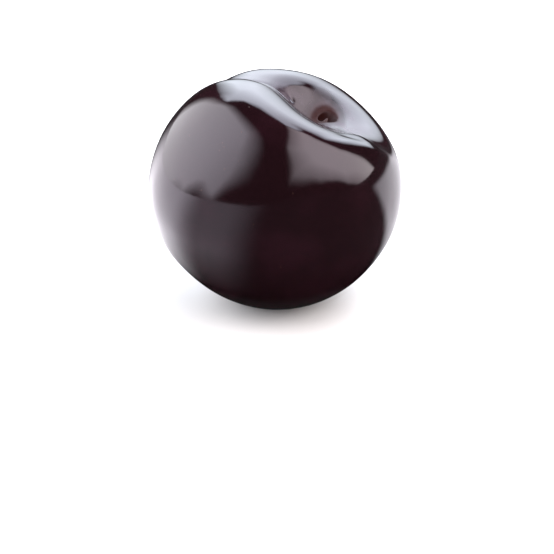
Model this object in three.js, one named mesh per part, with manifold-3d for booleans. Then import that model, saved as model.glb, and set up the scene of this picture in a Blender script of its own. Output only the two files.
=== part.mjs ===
// A whole dark plum, lying as it rests on a table. Millimetres and degrees, +Z up.
//
// The plum is shaped upright about its own centre and then laid over. Upright, its stem end points
// along +Z and its suture, the groove from the stem to the blossom tip, faces +X. The turn round the
// stem is counted from the suture towards +Y, and the polar angle from the stem end down to the tip.

import * as THREE from "three";
import { mergeVertices } from "three/addons/utils/BufferGeometryUtils.js";
import Module from "manifold-3d";

// Flesh: the plum's round form, before anything is sunk into it
const HALF_DEPTH = 29.5; // centre to the skin on the suture's side and opposite it
const HALF_WIDTH = 30.5; // centre to the skin of each cheek
const STEM_REACH = 29.2; // centre to the stem end
const TIP_REACH = 28.7; // centre to the blossom tip
const SQUARENESS = 2.08; // 2 is an ellipsoid, and more is fuller between the axes

// Shoulders: the swell round the stem end, higher on one side and on the two cheeks
const SHOULDER_POLAR = 42;
const SHOULDER_SPREAD = 22;
const SHOULDER_INNER_FADE = 14;
const SHOULDER_LOPSIDE = { height: 1.57, turn: 127.7 };
const SHOULDER_CHEEKS = { height: 1.19, turn: 94.4 };

// Belly: the low swell of the cheek that the plum lies on, towards the tip
const BELLY = { height: 0.9, polar: 128, turn: 58, spread: 28 };

// Stem cavity: a deep hollow that opens out towards the suture and has a closer rim at the back
const CAVITY_DEPTH = 7.5;
const CAVITY_EDGE = 3.09; // how abruptly the hollow's wall turns over into the rim
const CAVITY_SPREAD = 28.4;
const CAVITY_TO_SUTURE = { spread: 7.7, turn: -13.9 };
const CAVITY_OVAL = { spread: 5.11, turn: 58.7 };

// Stem scar: a small pit in the floor of the cavity, where the stem came away
const SCAR_POLAR = 11.6;
const SCAR_TURN = -56;
const SCAR_DEPTH = 2;
const SCAR_SPREAD = 5.5;

// Suture: a broad groove with a fine crease along its bottom
const GROOVE_DEPTH = 3.55;
const GROOVE_HALF_WIDTH = 5.6;
const GROOVE_DEEP_UNTIL = 38; // polar angle where the groove starts to get shallower
const GROOVE_SHALLOW_FROM = 100;
const GROOVE_SHALLOW_SHARE = 0.3;
const CREASE_DEPTH = 0.5;
const CREASE_HALF_WIDTH = 0.9;
const CREASE_ROUNDING = 0.14;
const SUTURE_START = -2; // the suture begins just behind the stem's axis
const SUTURE_FULL = 6;
const SUTURE_FADE_FROM = 130;
const SUTURE_END = 178;

// Blossom tip: a shallow dimple
const TIP_DIMPLE_DEPTH = 0.7;
const TIP_DIMPLE_SPREAD = 7;

// How the plum lies, and the flat that its weight presses into it
const TURN_ROUND_STEM = 165.9;
const STEM_LEAN = 37.9;
const LEAN_HEADING = -14.6;
const REST_SPOT_PRESS = 0.6;

// Facets: cells along each edge of the cube that is blown up into the plum
const CELLS = 24;
const CELL_CROWDING = 0.65; // cells are this much narrower along the suture and at the stem

const SKIN_COLOUR = 0x2c0f18;
const SKIN_ROUGHNESS = 0.16;

const radians = THREE.MathUtils.degToRad;
const degrees = THREE.MathUtils.radToDeg;
const smoothstep = THREE.MathUtils.smoothstep;

function bell(distance, spread) {
  return Math.exp(-((distance / spread) ** 2));
}

// The upright direction at a polar angle and a turn, both in degrees
function directionAt(polar, turn) {
  const aside = Math.sin(radians(polar));
  return new THREE.Vector3(
    aside * Math.cos(radians(turn)),
    aside * Math.sin(radians(turn)),
    Math.cos(radians(polar))
  );
}

function fleshRadius(direction, polar, turn) {
  const reach = direction.z > 0 ? STEM_REACH : TIP_REACH;
  const sum =
    Math.abs(direction.x / HALF_DEPTH) ** SQUARENESS +
    Math.abs(direction.y / HALF_WIDTH) ** SQUARENESS +
    Math.abs(direction.z / reach) ** SQUARENESS;
  const lopside = SHOULDER_LOPSIDE.height * Math.cos(radians(turn - SHOULDER_LOPSIDE.turn));
  const cheeks = SHOULDER_CHEEKS.height * Math.cos(radians(2 * (turn - SHOULDER_CHEEKS.turn)));
  const band = bell(polar - SHOULDER_POLAR, SHOULDER_SPREAD) * (1 - bell(polar, SHOULDER_INNER_FADE));
  const offBelly = degrees(direction.angleTo(directionAt(BELLY.polar, BELLY.turn)));
  return sum ** (-1 / SQUARENESS) + band * (lopside + cheeks) + BELLY.height * bell(offBelly, BELLY.spread);
}

function cavityDepth(polar, turn) {
  const toSuture = CAVITY_TO_SUTURE.spread * Math.cos(radians(turn - CAVITY_TO_SUTURE.turn));
  const oval = CAVITY_OVAL.spread * Math.cos(radians(2 * (turn - CAVITY_OVAL.turn)));
  const spread = CAVITY_SPREAD + toSuture + oval;
  return CAVITY_DEPTH * Math.exp(-((polar / spread) ** CAVITY_EDGE));
}

function scarDepth(direction) {
  const scar = directionAt(SCAR_POLAR, SCAR_TURN);
  return SCAR_DEPTH * bell(degrees(direction.angleTo(scar)), SCAR_SPREAD);
}

function sutureDepth(polar, ahead, aside) {
  const deep = smoothstep(-polar, -GROOVE_SHALLOW_FROM, -GROOVE_DEEP_UNTIL);
  const share = GROOVE_SHALLOW_SHARE + (1 - GROOVE_SHALLOW_SHARE) * deep;
  const groove = GROOVE_DEPTH * share * bell(aside, GROOVE_HALF_WIDTH);
  const crease = CREASE_DEPTH * Math.exp(-Math.hypot(aside, CREASE_ROUNDING) / CREASE_HALF_WIDTH);
  const length = smoothstep(ahead, SUTURE_START, SUTURE_FULL);
  const tipFade = smoothstep(-polar, -SUTURE_END, -SUTURE_FADE_FROM);
  return (groove + crease) * length * tipFade;
}

// The skin's point in a direction from the plum's centre
function skinPoint(direction) {
  const polar = degrees(Math.acos(THREE.MathUtils.clamp(direction.z, -1, 1)));
  const turn = degrees(Math.atan2(direction.y, direction.x));
  let radius = fleshRadius(direction, polar, turn);
  radius -= cavityDepth(polar, turn);
  radius -= scarDepth(direction);
  radius -= sutureDepth(polar, radius * direction.x, radius * direction.y);
  radius -= TIP_DIMPLE_DEPTH * bell(180 - polar, TIP_DIMPLE_SPREAD);
  return direction.clone().multiplyScalar(radius);
}

// A closed skin: the grid of a cube, blown up to the plum, with its cells crowded at the suture
function skinGeometry() {
  const block = new THREE.BoxGeometry(2, 2, 2, CELLS, CELLS, CELLS);
  block.deleteAttribute("normal");
  block.deleteAttribute("uv");
  const skin = mergeVertices(block);
  const corners = skin.getAttribute("position");
  const spread = (along) => Math.tan((along * Math.PI) / 4);
  const crowd = (along) => spread(along * (CELL_CROWDING + (1 - CELL_CROWDING) * along * along));
  for (let i = 0; i < corners.count; i += 1) {
    const direction = new THREE.Vector3(
      crowd(corners.getX(i)),
      crowd(corners.getY(i)),
      spread(corners.getZ(i))
    ).normalize();
    const point = skinPoint(direction);
    corners.setXYZ(i, point.x, point.y, point.z);
  }
  return skin;
}

function layDown(geometry) {
  geometry.rotateZ(radians(TURN_ROUND_STEM));
  geometry.rotateY(radians(STEM_LEAN));
  geometry.rotateZ(radians(LEAN_HEADING));
}

// Cuts off what lies below a level, which leaves the flat that the plum rests on
async function cutBelow(geometry, level) {
  const wasm = await Module();
  wasm.setup();
  const solid = (shape) =>
    new wasm.Manifold(
      new wasm.Mesh({
        numProp: 3,
        vertProperties: new Float32Array(shape.getAttribute("position").array),
        triVerts: new Uint32Array(shape.getIndex().array),
      })
    );
  const side = 4 * HALF_WIDTH;
  const block = new THREE.BoxGeometry(side, side, side);
  block.deleteAttribute("normal");
  block.deleteAttribute("uv");
  block.translate(0, 0, level - side / 2);
  const cut = solid(geometry).subtract(solid(mergeVertices(block))).getMesh();
  const result = new THREE.BufferGeometry();
  result.setAttribute("position", new THREE.BufferAttribute(cut.vertProperties, 3));
  result.setIndex(new THREE.BufferAttribute(cut.triVerts, 1));
  return result;
}

// Puts the origin under the middle of the plum's box, at the level of the rest spot
function standOnOrigin(geometry) {
  geometry.computeBoundingBox();
  const middle = geometry.boundingBox.getCenter(new THREE.Vector3());
  geometry.translate(-middle.x, -middle.y, -geometry.boundingBox.min.z);
}

const skin = skinGeometry();
layDown(skin);
skin.computeBoundingBox();
const plumGeometry = await cutBelow(skin, skin.boundingBox.min.z + REST_SPOT_PRESS);
standOnOrigin(plumGeometry);
plumGeometry.computeVertexNormals();

const plum = new THREE.Mesh(
  plumGeometry,
  new THREE.MeshStandardMaterial({ color: SKIN_COLOUR, roughness: SKIN_ROUGHNESS, metalness: 0 })
);
plum.name = "plum";

const group = new THREE.Group();
group.add(plum);

export default group;
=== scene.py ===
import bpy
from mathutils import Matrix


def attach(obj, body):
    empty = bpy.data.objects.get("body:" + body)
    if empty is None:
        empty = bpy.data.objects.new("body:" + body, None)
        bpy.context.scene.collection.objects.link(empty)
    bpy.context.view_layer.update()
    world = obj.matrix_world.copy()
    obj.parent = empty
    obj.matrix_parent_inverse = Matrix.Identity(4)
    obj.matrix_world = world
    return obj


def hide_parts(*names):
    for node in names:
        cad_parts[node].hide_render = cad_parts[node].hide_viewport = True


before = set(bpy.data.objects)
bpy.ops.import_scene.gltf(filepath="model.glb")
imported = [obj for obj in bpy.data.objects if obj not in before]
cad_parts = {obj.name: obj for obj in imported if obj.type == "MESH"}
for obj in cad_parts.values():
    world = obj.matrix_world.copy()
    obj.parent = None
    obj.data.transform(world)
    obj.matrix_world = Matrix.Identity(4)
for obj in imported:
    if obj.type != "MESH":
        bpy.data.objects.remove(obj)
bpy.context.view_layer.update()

import math

import bpy
import numpy as np
from bpy.props import FloatProperty, FloatVectorProperty, IntProperty, PointerProperty
from mathutils import Matrix, Vector, noise

bl_info = {
    "name": "Dark plum",
    "version": (1, 0, 0),
    "blender": (4, 5, 0),
    "location": "View3D > Sidebar > Plum",
    "description": "A whole dark plum with a glossy skin, resting on its side in a small studio",
    "category": "Add Mesh",
}

# The plum is shaped upright about its own centre, and then laid over. Upright, its stem end points
# along +Z and its suture faces +X. The turn round the stem is counted from the suture towards +Y,
# and the polar angle from the stem end down to the blossom tip.


def linear(hex_colour):
    """An sRGB hex colour, such as "#1a080c", as linear RGBA."""
    channels = [int(hex_colour[i : i + 2], 16) / 255 for i in (1, 3, 5)]
    return tuple(c / 12.92 if c <= 0.04045 else ((c + 0.055) / 1.055) ** 2.4 for c in channels) + (1.0,)


def length(name, metres, description):
    return FloatProperty(name=name, description=description, default=metres, unit="LENGTH", precision=5)


def angle(name, degrees, description):
    return FloatProperty(name=name, description=description, default=math.radians(degrees), subtype="ANGLE")


def number(name, default, description):
    return FloatProperty(name=name, description=description, default=default)


def colour(name, hex_colour, description):
    return FloatVectorProperty(
        name=name, description=description, default=linear(hex_colour), size=4, subtype="COLOR", min=0, max=1
    )


class PlumFlesh(bpy.types.PropertyGroup):
    half_depth: length("Half depth", 0.0295, "Centre to the skin on the suture's side")
    half_width: length("Half width", 0.0305, "Centre to the skin of each cheek")
    stem_reach: length("Stem reach", 0.0292, "Centre to the stem end, before the cavity is sunk")
    tip_reach: length("Tip reach", 0.0287, "Centre to the blossom tip")
    squareness: number("Squareness", 2.08, "2 is an ellipsoid, and more is fuller between the axes")
    shoulder_polar: angle("Shoulder place", 42, "Polar angle of the swell round the stem end")
    shoulder_spread: angle("Shoulder spread", 22, "How far the swell fades over")
    shoulder_inner_fade: angle("Shoulder inner fade", 14, "Where the swell starts, from the stem's axis")
    lopside_height: length("Lopside height", 0.00157, "How much higher one side of the shoulders is")
    lopside_turn: angle("Lopside turn", 127.7, "Which side that is")
    cheek_height: length("Cheek height", 0.00119, "How far the shoulders of the two cheeks stand up")
    cheek_turn: angle("Cheek turn", 94.4, "Where the cheeks' shoulders are highest")
    belly_height: length("Belly height", 0.0009, "Height of the low swell of the cheek that the plum lies on")
    belly_polar: angle("Belly place", 128, "Polar angle of that swell")
    belly_turn: angle("Belly turn", 58, "Turn of that swell")
    belly_spread: angle("Belly spread", 28, "Half width of that swell")
    tip_dimple_depth: length("Tip dimple depth", 0.0007, "Depth of the dimple at the blossom tip")
    tip_dimple_spread: angle("Tip dimple spread", 7, "Its width")


class PlumCavity(bpy.types.PropertyGroup):
    depth: length("Depth", 0.0075, "How far the stem cavity is sunk")
    edge: number("Edge", 3.09, "How abruptly its wall turns over into the rim")
    spread: angle("Spread", 28.4, "Mean reach of the cavity from the stem's axis")
    suture_spread: angle("Suture spread", 7.7, "How much further it reaches towards the suture")
    suture_turn: angle("Suture turn", -13.9, "Where it reaches furthest")
    oval_spread: angle("Oval spread", 5.11, "How oval it is")
    oval_turn: angle("Oval turn", 58.7, "Which way the oval points")
    scar_polar: angle("Scar place", 11.6, "Polar angle of the stem scar")
    scar_turn: angle("Scar turn", -56, "Turn of the stem scar")
    scar_depth: length("Scar depth", 0.0036, "Depth of the pit that the stem came out of")
    scar_spread: angle("Scar spread", 4.9, "Half width of that pit")
    scar_edge: number("Scar edge", 9.0, "How abruptly the pit's wall drops")
    scar_undercut: length("Scar undercut", 0.0009, "How far the pit's wall is pushed back under its edge")
    stub_height: length("Stub height", 0.0034, "Height of the stem's broken strands in the pit")
    stub_spread: angle("Stub spread", 2.4, "Half width of that stub")
    flush_polar: angle("Flush place", 13, "Polar angle of the middle of the thin, dull skin round the scar")
    flush_turn: angle("Flush turn", -48, "Turn of that middle")
    dull_polar: angle("Dull place", 25, "Polar angle of the middle of the unrubbed far wall of the cavity")
    dull_turn: angle("Dull turn", -43, "Turn of that middle")
    fold_depth: length("Fold depth", 0.00014, "Depth of the small folds along the cavity's rim")
    fold_half_width: angle("Fold half width", 1.3, "Half width of those folds, seen from the plum's middle")


class PlumSuture(bpy.types.PropertyGroup):
    depth: length("Depth", 0.00355, "Depth of the groove where it leaves the stem cavity")
    half_width: length("Half width", 0.0056, "Half width of the groove")
    low_share: number(
        "Low share", 0.75, "Depth of the groove against the lower cheek, as a share of the depth"
    )
    step_width: length("Step width", 0.0028, "How gently the floor steps up from the higher cheek's side")
    step_from: angle("Step from", 32, "Polar angle where the step begins")
    step_full: angle("Step full", 48, "Polar angle where it is at its full height")
    deep_until: angle("Deep until", 38, "Polar angle where the groove starts to get shallower")
    shallow_from: angle("Shallow from", 100, "Polar angle where it stops getting shallower")
    shallow_share: number("Shallow share", 0.3, "Depth of the shallow part, as a share of the depth")
    crease_depth: length("Crease depth", 0.0005, "Depth of the fine crease along the groove")
    crease_half_width: length("Crease half width", 0.0009, "Half width of that crease")
    crease_rounding: length("Crease rounding", 0.00014, "Radius at the bottom of the crease")
    start: length("Start", -0.002, "Where the groove begins, ahead of the stem's axis")
    full: length("Full", 0.006, "Where it is at its full depth")
    fade_from: angle("Fade from", 130, "Polar angle where it starts to fade out")
    end: angle("End", 178, "Polar angle where it ends")


class PlumRest(bpy.types.PropertyGroup):
    turn_round_stem: angle("Turn round stem", 165.9, "How the plum is turned about its stem axis")
    stem_lean: angle("Stem lean", 37.9, "How far the stem axis leans from upright")
    lean_heading: angle("Lean heading", -14.6, "Where it leans to, from +X towards +Y")
    press: length("Press", 0.0006, "How much of the skin the plum's weight presses flat")


class PlumSkin(bpy.types.PropertyGroup):
    cells: IntProperty(
        name="Cells", description="Mesh cells along each edge of the blown-up cube", default=120
    )
    crowding: number("Crowding", 0.55, "Cell width along the suture and at the stem, against the mean")
    swell_height: length("Swell height", 0.00007, "Height of the slow unevenness of the skin")
    swell_size: length("Swell size", 0.011, "Width of that unevenness")
    ripple_height: length("Ripple height", 0.000012, "Height of the finer unevenness of the skin")
    ripple_size: length("Ripple size", 0.0035, "Width of the finer unevenness")
    scar_radius: length("Scar radius", 0.0019, "Radius of the corky stem scar")
    ripe: colour("Ripe skin", "#13070a", "Near-black aubergine of the ripe skin")
    blush: colour("Blush", "#1a0a0f", "Wine red where the skin is a little less ripe")
    flush: colour("Flush round the scar", "#260a06", "Red-brown of the thin skin round the stem scar")
    cork: colour("Cork", "#2a1510", "Brown of the corky scar")
    cork_pale: colour("Pale cork", "#4f4142", "Pale middle of the scar, where the stem's strands broke off")
    bloom: colour("Bloom", "#8d7f92", "Pale wax left in the hollows, where it isn't rubbed off")
    sheen: colour("Sheen", "#fbf3ff", "Faint violet tint of what the wax mirrors")
    lenticel: colour("Lenticel", "#7d5a4c", "Tan of the skin's pores")
    lenticel_spacing: length("Lenticel spacing", 0.0021, "Mean distance between pores")
    lenticel_radius: length("Lenticel radius", 0.00016, "Radius of a pore")


class PlumStudio(bpy.types.PropertyGroup):
    floor_size: length("Floor size", 6.0, "Side of the square floor")
    floor_colour: colour("Floor colour", "#d8d8d8", "Pale matt board")
    left_light: number("Left light", 5.5, "Brightness of the left softbox")
    right_light: number("Right light", 5.9, "Brightness of the right softbox")
    back_light: number("Back light", 7.8, "Brightness of the back softbox")
    left_tint: colour("Left tint", "#fcfbff", "Colour of the left softbox")
    right_tint: colour("Right tint", "#fff7f6", "Colour of the right softbox")
    lamp_light: number("Lamp light", 2.8, "Brightness the back softbox gains there")
    back_tint: colour("Back tint", "#ecf5ff", "Colour of the back softbox")
    # Tint of the glowing card that paints the floor's reflection in the skin
    painted_reflection_tint: colour("Card tint", "#fbf8ff", "Colour of the card on the floor")
    camera_distance: length("Camera distance", 0.55, "Camera to the plum")
    camera_elevation: angle("Camera elevation", 25, "Camera's angle above the floor")
    camera_width: length("Field width", 0.1324, "Width of the view at the plum")
    plum_rise: length("Plum above the axis", 0.0219, "How far the plum is above the view's middle")


GROUPS = {
    "plum_flesh": PlumFlesh,
    "plum_cavity": PlumCavity,
    "plum_suture": PlumSuture,
    "plum_rest": PlumRest,
    "plum_skin": PlumSkin,
    "plum_studio": PlumStudio,
}


# Softbox outlines: (right, back, fade), the lean from straight above and the width of the fade, in degrees
LEFT_OUTLINE = [
    (-28, 36, 6), (-30, 45, 7), (-31, 55, 7), (-33, 65, 8), (-34, 73, 9), (-35, 82, 10),
    (-35, 92, 10), (-75, 100, 1), (-108, 75, 8), (-112, 30, 24), (-108, 5, 24), (-105, -9, 18),
    (-95, -18, 14), (-88.5, -26, 14), (-86, -32, 14), (-85, -40, 12), (-82, -48, 9), (-78, -53, 8),
    (-68, -58, 12), (-60, -60, 14), (-50, -63, 18), (-40, -64, 22), (-31, -54, 22), (-24, -40, 22),
    (-21, -25, 18), (-21, -13, 14), (-23, 10, 11), (-24, 30, 9),
]
RIGHT_OUTLINE = [
    (8, 15, 12), (7, 3, 13), (3.5, -10, 17), (-1, -23, 22), (-5, -35, 20), (-6, -46, 30),
    (-6.5, -54, 38), (-7, -62, 45), (-7, -75, 45), (-5, -84, 45), (11, -84.5, 45), (22, -82.5, 42),
    (48, -70, 30), (66, -53, 22), (86, -26, 14), (104, 20, 20), (92, 62, 14), (82, 56, 6),
    (78, 47, 5), (73, 37, 5), (68, 29, 6), (63, 21.5, 7), (58, 17, 8), (53, 12.5, 9),
    (46, 11.5, 10), (38, 11.5, 10), (32, 13, 10), (27, 16, 8), (20, 17, 5), (14, 17, 6),
]
BACK_OUTLINE = [
    (9, 13, 3), (1, 23, 6), (-5, 31, 8), (-14, 36, 4), (-28, 37, 3), (-29.5, 42, 4), (-29, 50, 8),
    (-27, 56, 14), (-26.5, 60, 16), (-24.5, 66, 16), (-21.5, 74, 16), (-18.5, 82, 16),
    (-14, 91, 26), (0, 92, 34), (13, 92, 34), (20, 85.5, 32), (24, 83.5, 31), (28, 80, 26),
    (32, 77.5, 22), (38, 77.5, 20), (43, 77, 17), (50, 72, 14), (54, 68, 9), (57.5, 61, 6),
    (57.5, 53.5, 7), (56, 46.5, 8), (54, 41, 10), (51, 37, 11), (48.5, 32, 12), (45, 28, 12),
    (41, 23.5, 12), (36, 19.5, 12), (31, 22, 11), (26, 26, 11), (22.5, 26, 8), (21, 19, 4),
    (18, 13, 3),
]
# The brighter patch of the back softbox, where its lamp shows through the cloth
LAMP_OUTLINE = [
    (36, 60, 10), (42, 55, 10), (45, 43, 9), (44, 32, 10), (40, 22, 12), (34, 20, 10), (29, 32, 8),
    (27, 44, 8), (29, 54, 8),
]

# Two small folds along the rim of the stem cavity, and the short crease where the suture enters it. Each
# goes from one (polar, turn) to another, in degrees, and has its depth as a share of the fold depth
RIM_FOLDS = [
    ((28.4, 107), (22.0, 153), 2.6),
    ((22.6, 158), (25.0, 178), 1.0),
    ((35.5, -7), (28.5, -3.5), 2.2),
]

# The glowing boards of painted floor reflection: they lie on the floor out of view, show only in the skin,
# and stand in for the lit floor there. Each is given by the azimuth of its middle, counted from the camera's
# side to the right, half its width and the fade at its sides, in degrees, then its brightness, and the reach
# from the plum's middle where it ends, in metres
PAINTED_FLOOR_REFLECTION_BOARDS = [
    (-108, 34, 30, 4.5, 1.5),
    (-50, 22, 34, 1.2, 1.5),
    (130, 24, 12, 1.8, 0.2),
]


# ---------------------------------------------------------------- shape


def bell(distance, spread):
    return np.exp(-((distance / spread) ** 2))


def smoothstep(value, low, high):
    share = np.clip((value - low) / (high - low), 0, 1)
    return share * share * (3 - 2 * share)


def direction_at(polar, turn):
    aside = math.sin(polar)
    return np.array([aside * math.cos(turn), aside * math.sin(turn), math.cos(polar)])


def angle_from(direction, polar, turn):
    return np.arccos(np.clip(direction @ direction_at(polar, turn), -1, 1))


def flesh_radius(flesh, direction, polar, turn):
    x, y, z = direction.T
    reach = np.where(z > 0, flesh.stem_reach, flesh.tip_reach)
    power = flesh.squareness
    total = np.abs(x / flesh.half_depth) ** power
    total = total + np.abs(y / flesh.half_width) ** power
    total = total + np.abs(z / reach) ** power
    lopside = flesh.lopside_height * np.cos(turn - flesh.lopside_turn)
    cheeks = flesh.cheek_height * np.cos(2 * (turn - flesh.cheek_turn))
    band = bell(polar - flesh.shoulder_polar, flesh.shoulder_spread)
    band = band * (1 - bell(polar, flesh.shoulder_inner_fade))
    off_belly = angle_from(direction, flesh.belly_polar, flesh.belly_turn)
    belly = flesh.belly_height * bell(off_belly, flesh.belly_spread)
    return total ** (-1 / power) + band * (lopside + cheeks) + belly


def cavity_depth(cavity, polar, turn):
    to_suture = cavity.suture_spread * np.cos(turn - cavity.suture_turn)
    oval = cavity.oval_spread * np.cos(2 * (turn - cavity.oval_turn))
    return cavity.depth * np.exp(-((polar / (cavity.spread + to_suture + oval)) ** cavity.edge))


def undercut(cavity, direction, places):
    """The places of the skin, with the pit's wall pushed back under its edge."""
    axis = direction_at(cavity.scar_polar, cavity.scar_turn)
    off_scar = angle_from(direction, cavity.scar_polar, cavity.scar_turn)
    outward = direction - (direction @ axis)[:, None] * axis
    outward = outward / np.maximum(np.linalg.norm(outward, axis=1, keepdims=True), 1e-9)
    sunk = np.exp(-((off_scar / cavity.scar_spread) ** cavity.scar_edge))
    # The push starts part of the way out from the pit's middle and is full close to its wall
    near_wall = smoothstep(off_scar, 0.4 * cavity.scar_spread, 0.9 * cavity.scar_spread)
    return places + outward * (cavity.scar_undercut * sunk * near_wall)[:, None]


def suture_share(suture, polar, ahead):
    return smoothstep(ahead, suture.start, suture.full) * smoothstep(-polar, -suture.end, -suture.fade_from)


def suture_depth(suture, polar, ahead, aside):
    deep = smoothstep(-polar, -suture.shallow_from, -suture.deep_until)
    share = suture.shallow_share + (1 - suture.shallow_share) * deep
    groove = suture.depth * share * bell(aside, suture.half_width)
    # From the cavity's rim on, the floor steps up from the higher cheek's side to the lower cheek's
    low = smoothstep(-aside, -suture.step_width, 0.0)
    past_rim = smoothstep(polar, suture.step_from, suture.step_full)
    groove = groove * (1 - (1 - suture.low_share) * low * past_rim)
    crease = suture.crease_depth * np.exp(-np.hypot(aside, suture.crease_rounding) / suture.crease_half_width)
    return (groove + crease) * suture_share(suture, polar, ahead)


def fold_depth(cavity, polar, turn):
    """The depth of the folds along the rim, on a flat map whose middle is the stem's axis."""
    place = polar * np.exp(1j * turn)
    depth = np.zeros(polar.shape)
    for start, end, share in RIM_FOLDS:
        start, end = (math.radians(at) * np.exp(1j * math.radians(heading)) for at, heading in (start, end))
        along = ((place - start) / (end - start)).real
        across = ((place - start) / (end - start)).imag * abs(end - start)
        taper = smoothstep(along, 0, 0.5) * smoothstep(-along, -1, -0.5)
        depth = depth + cavity.fold_depth * share * bell(across, cavity.fold_half_width) * taper
    return depth


def uneven(places, size, seed):
    """Smooth noise from -1 to 1 at each place, with features of about that size."""
    shift = Vector((seed, 2 * seed, 3 * seed))
    return np.array([noise.noise(Vector(place) / size + shift) for place in places])


def skin_shape(direction):
    """The skin's radius in each direction, and the masks that the material paints with."""
    scene = bpy.context.scene
    flesh, cavity, suture, skin = scene.plum_flesh, scene.plum_cavity, scene.plum_suture, scene.plum_skin
    polar = np.arccos(np.clip(direction[:, 2], -1, 1))
    turn = np.arctan2(direction[:, 1], direction[:, 0])
    hollow = cavity_depth(cavity, polar, turn)
    radius = flesh_radius(flesh, direction, polar, turn) - hollow
    off_scar = angle_from(direction, cavity.scar_polar, cavity.scar_turn)
    radius = radius - cavity.scar_depth * np.exp(-((off_scar / cavity.scar_spread) ** cavity.scar_edge))
    radius = radius + cavity.stub_height * bell(off_scar, cavity.stub_spread)
    ahead, aside = radius * direction[:, 0], radius * direction[:, 1]
    radius = radius - suture_depth(suture, polar, ahead, aside)
    radius = radius - flesh.tip_dimple_depth * bell(math.pi - polar, flesh.tip_dimple_spread)
    radius = radius - fold_depth(cavity, polar, turn)

    places = direction * radius[:, None]
    radius = radius + skin.swell_height * uneven(places, skin.swell_size, seed=1.7)
    radius = radius + skin.ripple_height * uneven(places, skin.ripple_size, seed=4.3)

    from_flush = angle_from(direction, cavity.flush_polar, cavity.flush_turn) * radius
    from_dull = angle_from(direction, cavity.dull_polar, cavity.dull_turn) * radius
    groove_floor = bell(aside, 0.5 * suture.half_width) * suture_share(suture, polar, ahead)
    crease_line = bell(aside, 0.5 * suture.crease_half_width) * suture_share(suture, polar, ahead)
    masks = {
        "hollow": np.clip(hollow / cavity.depth, 0, 1),
        "groove": groove_floor,
        "crease": crease_line,
        "from_scar": off_scar * radius / skin.scar_radius,
        "from_flush": from_flush / skin.scar_radius,
        "from_dull": from_dull / skin.scar_radius,
        "from_tip": (math.pi - polar) * radius / skin.scar_radius,
    }
    return radius, masks


def cube_lattice(cells):
    """The corners on the surface of a cube from -1 to 1, its outward quads and each quad corner's UV."""
    steps = np.arange(cells + 1)
    u, v = np.meshgrid(steps, steps, indexing="ij")
    corners, quads, uvs = [], [], []
    index = np.arange((cells + 1) ** 2).reshape(cells + 1, cells + 1)
    quad = np.stack([index[:-1, :-1], index[1:, :-1], index[1:, 1:], index[:-1, 1:]], -1).reshape(-1, 4)
    margin = 0.02
    for side in range(6):
        axis, far = side % 3, side >= 3
        place = np.empty((cells + 1, cells + 1, 3), int)
        place[..., axis] = cells if far else 0
        place[..., (axis + 1) % 3] = u if far else cells - u
        place[..., (axis + 2) % 3] = v
        tile = np.stack([u, v], -1).reshape(-1, 2) / cells * (1 - 2 * margin) + margin
        quads.append(quad + len(corners) * index.size)
        corners.append(place.reshape(-1, 3))
        uvs.append((tile + (axis, int(far))) / (3, 2))
    corners, quads, uvs = np.concatenate(corners), np.concatenate(quads), np.concatenate(uvs)
    shared, merged = np.unique(corners, axis=0, return_inverse=True)
    return shared * 2 / cells - 1, merged.reshape(-1)[quads], uvs[quads]


def crowd(along, crowding):
    """Crowds places from -1 to 1 towards 0, and spreads them evenly by angle."""
    return np.tan(along * (crowding + (1 - crowding) * along**2) * math.pi / 4)


def lying_matrix():
    rest = bpy.context.scene.plum_rest
    return (
        Matrix.Rotation(rest.lean_heading, 3, "Z")
        @ Matrix.Rotation(rest.stem_lean, 3, "Y")
        @ Matrix.Rotation(rest.turn_round_stem, 3, "Z")
    )


def skin_mesh():
    """The plum's skin as a mesh in the row frame, with its masks as attributes, and the plum's centre."""
    scene = bpy.context.scene
    skin, rest = scene.plum_skin, scene.plum_rest
    lattice, quads, uvs = cube_lattice(skin.cells)
    crowdings = (skin.crowding, skin.crowding, 1)
    direction = np.stack([crowd(lattice[:, i], crowding) for i, crowding in enumerate(crowdings)], -1)
    direction /= np.linalg.norm(direction, axis=1, keepdims=True)
    radius, masks = skin_shape(direction)
    places = undercut(scene.plum_cavity, direction, direction * radius[:, None]) @ np.array(lying_matrix()).T
    low, high = places.min(0), places.max(0)
    centre = -np.array([(low[0] + high[0]) / 2, (low[1] + high[1]) / 2, low[2] + rest.press])
    places += centre
    places[:, 2] = np.maximum(places[:, 2], 0)

    mesh = bpy.data.meshes.new("plum_skin")
    mesh.from_pydata(places.tolist(), [], quads.tolist())
    mesh.shade_smooth()
    for name, values in masks.items():
        mesh.attributes.new(name, "FLOAT", "POINT").data.foreach_set("value", values.astype(np.float32))
    mesh.uv_layers.new(name="OFBake").data.foreach_set("uv", uvs.reshape(-1).astype(np.float32))
    mesh.update()
    return mesh, Vector(centre)


# ---------------------------------------------------------------- materials


def add_node(tree, kind, inputs=None, **settings):
    """Adds a node with its settings. Each input is given a value, or linked from another node's socket."""
    node = tree.nodes.new(kind)
    for name, value in settings.items():
        setattr(node, name, value)
    for name, value in (inputs or {}).items():
        if isinstance(value, bpy.types.NodeSocket):
            tree.links.new(value, node.inputs[name])
        else:
            node.inputs[name].default_value = value
    return node


def new_material(name):
    material = bpy.data.materials.new(name)
    material.use_nodes = True
    material.node_tree.nodes.clear()
    return material, material.node_tree


def mask(tree, name):
    return add_node(tree, "ShaderNodeAttribute", attribute_name=name).outputs["Fac"]


def ramp(tree, value, low, high, low_to=0.0, high_to=1.0):
    """A value that goes smoothly from low_to to high_to as the input goes from low to high."""
    node = add_node(
        tree,
        "ShaderNodeMapRange",
        {"Value": value, "From Min": low, "From Max": high, "To Min": low_to, "To Max": high_to},
        interpolation_type="SMOOTHSTEP",
    )
    return node.outputs["Result"]


def math_of(tree, operation, first, second):
    return add_node(tree, "ShaderNodeMath", {0: first, 1: second}, operation=operation).outputs[0]


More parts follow.
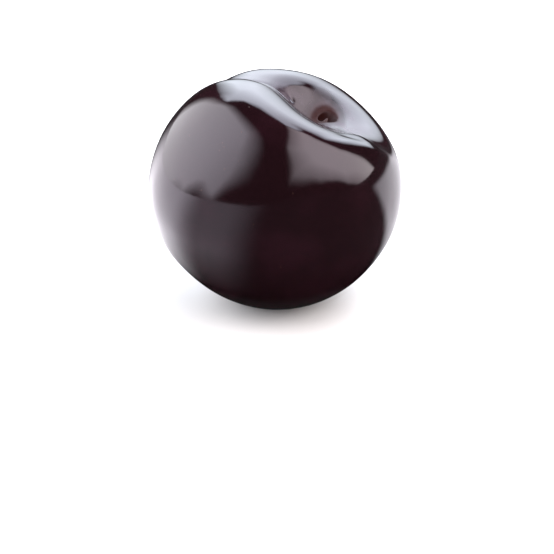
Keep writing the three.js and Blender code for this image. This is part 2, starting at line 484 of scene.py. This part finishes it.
def blend(tree, share, first, second):
    node = add_node(
        tree, "ShaderNodeMix", {"Factor": share, 6: first, 7: second}, data_type="RGBA", blend_type="MIX"
    )
    return node.outputs[2]


def speckle(tree, places, size, detail=2.0):
    """Noise whose features are about that many metres across."""
    node = add_node(tree, "ShaderNodeTexNoise", {"Vector": places, "Scale": 1 / size, "Detail": detail})
    return node.outputs["Fac"]


def plum_skin_material():
    """Ripe plum skin, rubbed smooth: a dark pigment under a clear cuticle of wax, so it is nearly black
    and mirrors the lights sharply, and is dull only where cork or bloom covers the wax."""
    skin = bpy.context.scene.plum_skin
    material, tree = new_material("plum_skin_rubbed_wax")
    places = add_node(tree, "ShaderNodeTexCoord").outputs["Object"]

    # Pigment: slow patches of wine red in the near-black
    patches = ramp(tree, speckle(tree, places, 0.016, 3.0), 0.42, 0.68)
    base = blend(tree, patches, tuple(skin.ripe), tuple(skin.blush))

    # Pores, drawn about twice as wide as they are, so that they still show
    cells = add_node(
        tree,
        "ShaderNodeTexVoronoi",
        {"Vector": places, "Scale": 1 / skin.lenticel_spacing, "Randomness": 1.0},
    )
    pore_edge = skin.lenticel_radius / skin.lenticel_spacing
    pores = ramp(tree, cells.outputs["Distance"], pore_edge, 0.4 * pore_edge)
    shown = ramp(tree, speckle(tree, places, 0.006), 0.45, 0.6)
    pores = math_of(tree, "MULTIPLY", pores, shown)
    base = blend(tree, math_of(tree, "MULTIPLY", pores, 0.35), base, tuple(skin.lenticel))

    # Bloom: thin wax dust left in the stem cavity and the groove
    dust = ramp(tree, speckle(tree, places, 0.0035, 5.0), 0.35, 0.7)
    sheltered = math_of(tree, "MAXIMUM", ramp(tree, mask(tree, "hollow"), 0.3, 1.0), mask(tree, "groove"))
    bloom = math_of(tree, "MULTIPLY", math_of(tree, "MULTIPLY", dust, sheltered), 0.16)
    base = blend(tree, bloom, base, tuple(skin.bloom))

    # Scar: thin red-brown skin down the pit, and the pale stub of the stem's strands in the middle
    from_scar = mask(tree, "from_scar")
    from_flush = mask(tree, "from_flush")
    raggedness = ramp(tree, speckle(tree, places, 0.0009, 4.0), 0.3, 0.7, -0.12, 0.12)
    ragged = math_of(tree, "ADD", from_scar, raggedness)
    flush = ramp(tree, math_of(tree, "ADD", from_flush, raggedness), 2.3, 1.1)
    base = blend(tree, flush, base, tuple(skin.flush))
    cork = ramp(tree, ragged, 0.62, 0.5)
    base = blend(tree, cork, base, tuple(skin.cork))
    core = ramp(tree, ragged, 0.44, 0.34)
    base = blend(tree, core, base, tuple(skin.cork_pale))
    tip = ramp(tree, mask(tree, "from_tip"), 0.7, 0.4)
    base = blend(tree, tip, base, tuple(skin.cork))

    # Gloss: the skin is duller where it stays unrubbed, in the cavity round the scar and in the groove
    far_wall = ramp(tree, mask(tree, "from_dull"), 2.2, 0.8, 0.0, 0.8)
    round_scar = math_of(tree, "MAXIMUM", ramp(tree, from_flush, 3.2, 2.0), far_wall)
    ring = math_of(tree, "MULTIPLY", ramp(tree, from_flush, 1.9, 1.2), ramp(tree, from_scar, 0.95, 1.2))
    corky = math_of(tree, "MAXIMUM", math_of(tree, "MAXIMUM", ring, core), tip)
    roughness = ramp(tree, speckle(tree, places, 0.02, 2.0), 0.3, 0.7, 0.06, 0.10)
    roughness = math_of(tree, "ADD", roughness, math_of(tree, "MULTIPLY", bloom, 1.0))
    roughness = math_of(tree, "ADD", roughness, math_of(tree, "MULTIPLY", sheltered, 0.06))
    roughness = math_of(tree, "ADD", roughness, math_of(tree, "MULTIPLY", round_scar, 0.28))
    roughness = math_of(tree, "ADD", roughness, math_of(tree, "MULTIPLY", corky, 0.45))

    # Relief, in metres: the cuticle's grain, the raised pores and the crumbly stub
    grain_height, pore_height, crumb_height = 0.0000025, 0.000012, 0.0003
    grain = math_of(tree, "MULTIPLY", speckle(tree, places, 0.0007, 2.0), grain_height)
    pimples = math_of(tree, "MULTIPLY", pores, pore_height)
    crumbs = math_of(tree, "MULTIPLY", core, speckle(tree, places, 0.0005, 4.0))
    crumbs = math_of(tree, "MULTIPLY", crumbs, crumb_height)
    height = math_of(tree, "ADD", math_of(tree, "ADD", grain, pimples), crumbs)
    bump = add_node(tree, "ShaderNodeBump", {"Height": height, "Distance": 1.0, "Strength": 1.0})

    surface = add_node(
        tree,
        "ShaderNodeBsdfPrincipled",
        {
            "Base Color": base,
            "Roughness": roughness,
            "Normal": bump.outputs["Normal"],
            "IOR": 1.47,
            "Specular Tint": tuple(skin.sheen),
        },
    )
    add_node(tree, "ShaderNodeOutputMaterial", {"Surface": surface.outputs["BSDF"]})
    return material


def floor_material():
    """Matt painted board: even and pale, with no gloss."""
    material, tree = new_material("floor_matt_board")
    surface = add_node(
        tree,
        "ShaderNodeBsdfPrincipled",
        {
            "Base Color": tuple(bpy.context.scene.plum_studio.floor_colour),
            "Roughness": 0.9,
            "Specular IOR Level": 0.0,
        },
    )
    add_node(tree, "ShaderNodeOutputMaterial", {"Surface": surface.outputs["BSDF"]})
    return material


def light_material(name, tint, brightness, see_through=True):
    """Softbox cloth, lit from behind: it glows evenly, and thins out to nothing at its edges."""
    material, tree = new_material(name)
    strength = math_of(tree, "MULTIPLY", mask(tree, "glow"), brightness)
    surface = add_node(tree, "ShaderNodeEmission", {"Color": tuple(tint), "Strength": strength}).outputs[0]
    if see_through:
        clear = add_node(tree, "ShaderNodeBsdfTransparent").outputs[0]
        surface = add_node(tree, "ShaderNodeAddShader", {0: clear, 1: surface}).outputs[0]
    add_node(tree, "ShaderNodeOutputMaterial", {"Surface": surface})
    return material


# ---------------------------------------------------------------- studio


def sky_direction(right, back):
    """The direction that leans this far to the right and to the back from straight above, in degrees."""
    lean = np.radians(np.hypot(right, back))
    heading = np.arctan2(right, back)
    return np.stack([np.sin(lean) * np.sin(heading), np.sin(lean) * np.cos(heading), np.cos(lean)], -1)


def inside_by(outline, right, back):
    """How far places are inside an outline, as a share of the fades at its edges."""
    share = np.full(right.shape, np.inf)
    inside = np.zeros(right.shape, bool)
    for (x0, y0, fade0), (x1, y1, fade1) in zip(outline, outline[1:] + outline[:1]):
        along = ((right - x0) * (x1 - x0) + (back - y0) * (y1 - y0)) / ((x1 - x0) ** 2 + (y1 - y0) ** 2)
        along = np.clip(along, 0, 1)
        distance = np.hypot(right - x0 - along * (x1 - x0), back - y0 - along * (y1 - y0))
        share = np.minimum(share, distance / (fade0 + along * (fade1 - fade0)))
        if y0 != y1:
            crossed = x0 + (back - y0) / (y1 - y0) * (x1 - x0) > right
            inside ^= ((y0 > back) != (y1 > back)) & crossed
    return np.where(inside, share, 0)


def glowing_sheet(name, places, glow, material):
    """A sheet over a grid of places, which glows by that share at each of them."""
    index = np.arange(glow.size).reshape(glow.shape)
    quads = np.stack([index[:-1, :-1], index[1:, :-1], index[1:, 1:], index[:-1, 1:]], -1).reshape(-1, 4)
    quads = quads[glow.reshape(-1)[quads].max(1) > 0]
    mesh = bpy.data.meshes.new(name)
    mesh.from_pydata(places.reshape(-1, 3).tolist(), [], quads.tolist())
    levels = mesh.attributes.new("glow", "FLOAT", "POINT").data
    levels.foreach_set("value", glow.reshape(-1).astype(np.float32))
    mesh.materials.append(material)
    sheet = bpy.data.objects.new(name, mesh)
    sheet.visible_camera = False
    sheet.visible_shadow = False
    return sheet


def softbox(name, centre, material, outline, distance, rise, toe, hot_spot):
    """A softbox bent round the plum. Its outline is a list of (right, back, fade): how far each corner
    leans from straight above, and how wide the glow fades out there, in degrees. The glow rises from
    the edge by a power of rise, and more gently over the first share of the fade, the toe. The hot spot
    is (right, back, spread, share), and share is the glow that is left far from it."""
    corners = np.array(outline)
    low, high = corners[:, :2].min(0), corners[:, :2].max(0)
    right, back = np.meshgrid(
        np.arange(low[0], high[0] + 0.5, 0.5), np.arange(low[1], high[1] + 0.5, 0.5), indexing="ij"
    )
    inside = np.clip(inside_by(outline, right, back), 0, 1)
    glow = inside**rise * smoothstep(inside, 0, toe)
    hot_right, hot_back, spread, share = hot_spot
    glow = glow * (share + (1 - share) * bell(np.hypot(right - hot_right, back - hot_back), spread))
    # Leans past the horizon are drawn back to just under it
    lowest = 91
    onto_floor = np.minimum(1, lowest / np.maximum(np.hypot(right, back), 1))
    places = sky_direction(right * onto_floor, back * onto_floor) * distance + np.array(centre)
    return glowing_sheet(name, places, glow, material)


def painted_floor_reflection(name, material, boards):
    """Painted reflection of the lit floor: glowing boards round the plum, as one sheet, which only show in
    the skin, and near dark between the boards.
    """
    inner, outer = 0.02, 1.5
    azimuth, reach = np.meshgrid(np.arange(-180, 181), np.geomspace(inner, outer, 60), indexing="ij")
    glow = np.full(reach.shape, 0.05)
    for middle, half_width, fade, brightness, end in boards:
        off_middle = np.abs((azimuth - middle + 180) % 360 - 180)
        sides = smoothstep(half_width - off_middle, -fade / 2, fade / 2)
        glow = glow + brightness * sides * smoothstep(-reach, -1.5 * end, -end)
    # Painted shadow of the plum on the floor, as the skin mirrors it: the glow fades out close to the plum
    glow = glow * smoothstep(reach, inner, 3 * inner) + 0.001
    right, back = reach * np.sin(np.radians(azimuth)), -reach * np.cos(np.radians(azimuth))
    card = glowing_sheet(name, np.stack([right, back, np.full(right.shape, 0.0005)], -1), glow, material)
    card.visible_diffuse = False
    return card


def add_camera(centre):
    studio = bpy.context.scene.plum_studio
    camera = bpy.data.objects.new("camera", bpy.data.cameras.new("camera"))
    camera.data.sensor_width = 36
    camera.data.lens = camera.data.sensor_width * studio.camera_distance / studio.camera_width
    camera.data.clip_start = 0.05
    back = Vector((0, -math.cos(studio.camera_elevation), math.sin(studio.camera_elevation)))
    up = Vector((0, math.sin(studio.camera_elevation), math.cos(studio.camera_elevation)))
    camera.location = centre - up * studio.plum_rise + back * studio.camera_distance
    camera.rotation_euler = back.to_track_quat("Z", "Y").to_euler()
    return camera


def studio_world():
    """Pale where the camera looks past the floor, and dim in what the plum mirrors."""
    world = bpy.data.worlds.new("studio_room")
    world.use_nodes = True
    tree = world.node_tree
    tree.nodes.clear()
    seen = add_node(tree, "ShaderNodeLightPath").outputs["Is Camera Ray"]
    pale = add_node(tree, "ShaderNodeBackground", {"Color": linear("#fafafa"), "Strength": 1.0})
    dim = add_node(tree, "ShaderNodeBackground", {"Color": linear("#ffffff"), "Strength": 0.02})
    both = add_node(
        tree, "ShaderNodeMixShader", {0: seen, 1: dim.outputs["Background"], 2: pale.outputs["Background"]}
    )
    add_node(tree, "ShaderNodeOutputWorld", {"Surface": both.outputs["Shader"]})
    return world


def link(thing):
    bpy.context.scene.collection.objects.link(thing)
    return thing


# ---------------------------------------------------------------- operators


class PLUM_OT_add_skin(bpy.types.Operator):
    """Adds the plum: its whole skin, with the stem cavity, the scar and the suture"""

    bl_idname = "plum.add_skin"
    bl_label = "Add plum skin"

    def execute(self, context):
        mesh, centre = skin_mesh()
        mesh.materials.append(plum_skin_material())
        skin = link(bpy.data.objects.new("plum_skin", mesh))
        context.scene["plum_centre"] = list(centre)
        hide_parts("plum")
        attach(skin, "root")
        return {"FINISHED"}


class PLUM_OT_add_studio(bpy.types.Operator):
    """Adds the pale floor, the softboxes at the sides and the back, the glowing boards that paint the floor's
    reflection in the skin, and the camera
    """

    bl_idname = "plum.add_studio"
    bl_label = "Add studio"

    def execute(self, context):
        scene, studio = context.scene, context.scene.plum_studio
        if "plum_centre" not in scene:
            raise RuntimeError("add the plum first: the studio is built round it")
        centre = Vector(scene["plum_centre"])

        half = studio.floor_size / 2
        board = bpy.data.meshes.new("floor")
        corners = [(-half, -half, 0), (half, -half, 0), (half, half, 0), (-half, half, 0)]
        board.from_pydata(corners, [], [(0, 1, 2, 3)])
        board.materials.append(floor_material())
        floor = link(bpy.data.objects.new("floor", board))
        floor.visible_glossy = False

        # The lamp's patch is nearer than the rest, so that the sheets don't lie in each other
        far, near = 1.4, 1.3
        left = (LEFT_OUTLINE, far, 1.3, 0.01, (-62, 4, 72, 0.2))
        right = (RIGHT_OUTLINE, far, 0.5, 0.3, (40, -30, 90, 0.3))
        back = (BACK_OUTLINE, far, 0.7, 0.01, (3, 53, 26, 0.75))
        lamp = (LAMP_OUTLINE, near, 1.0, 0.3, (37, 42, 90, 0.9))
        for name, tint, brightness, form in (
            ("softbox_left", studio.left_tint, studio.left_light, left),
            ("softbox_right", studio.right_tint, studio.right_light, right),
            ("softbox_back", studio.back_tint, studio.back_light, back),
            ("softbox_back_lamp", studio.back_tint, studio.lamp_light, lamp),
        ):
            cloth = light_material(name + "_cloth", tint, brightness)
            link(softbox(name, centre, cloth, *form))
        # Painted reflection of the lit floor: the card glows like softbox cloth, but only the skin mirrors it
        # and it lights nothing
        card = light_material("painted_floor_reflection_glow", studio.painted_reflection_tint, 1.0, see_through=False)
        link(painted_floor_reflection("painted_floor_reflection", card, PAINTED_FLOOR_REFLECTION_BOARDS))

        scene.world = studio_world()
        scene.camera = link(add_camera(centre))
        # Straight sRGB, so that the white floor is white
        scene.view_settings.view_transform = "Standard"
        return {"FINISHED"}


class PLUM_PT_panel(bpy.types.Panel):
    """Lists the plum's operators and sizes"""

    bl_idname = "PLUM_PT_panel"
    bl_label = "Plum"
    bl_space_type = "VIEW_3D"
    bl_region_type = "UI"
    bl_category = "Plum"

    def draw(self, context):
        for operator in (PLUM_OT_add_skin, PLUM_OT_add_studio):
            self.layout.operator(operator.bl_idname)
        for group, kind in GROUPS.items():
            box = self.layout.box()
            box.label(text=kind.__name__)
            for name in kind.__annotations__:
                box.prop(getattr(context.scene, group), name)


CLASSES = (*GROUPS.values(), PLUM_OT_add_skin, PLUM_OT_add_studio, PLUM_PT_panel)


def register():
    for cls in CLASSES:
        bpy.utils.register_class(cls)
    for name, kind in GROUPS.items():
        setattr(bpy.types.Scene, name, PointerProperty(type=kind))


def unregister():
    for name in GROUPS:
        delattr(bpy.types.Scene, name)
    for cls in reversed(CLASSES):
        bpy.utils.unregister_class(cls)


def main():
    register()
    bpy.ops.plum.add_skin()
    bpy.ops.plum.add_studio()


if __name__ == "__main__":
    main()
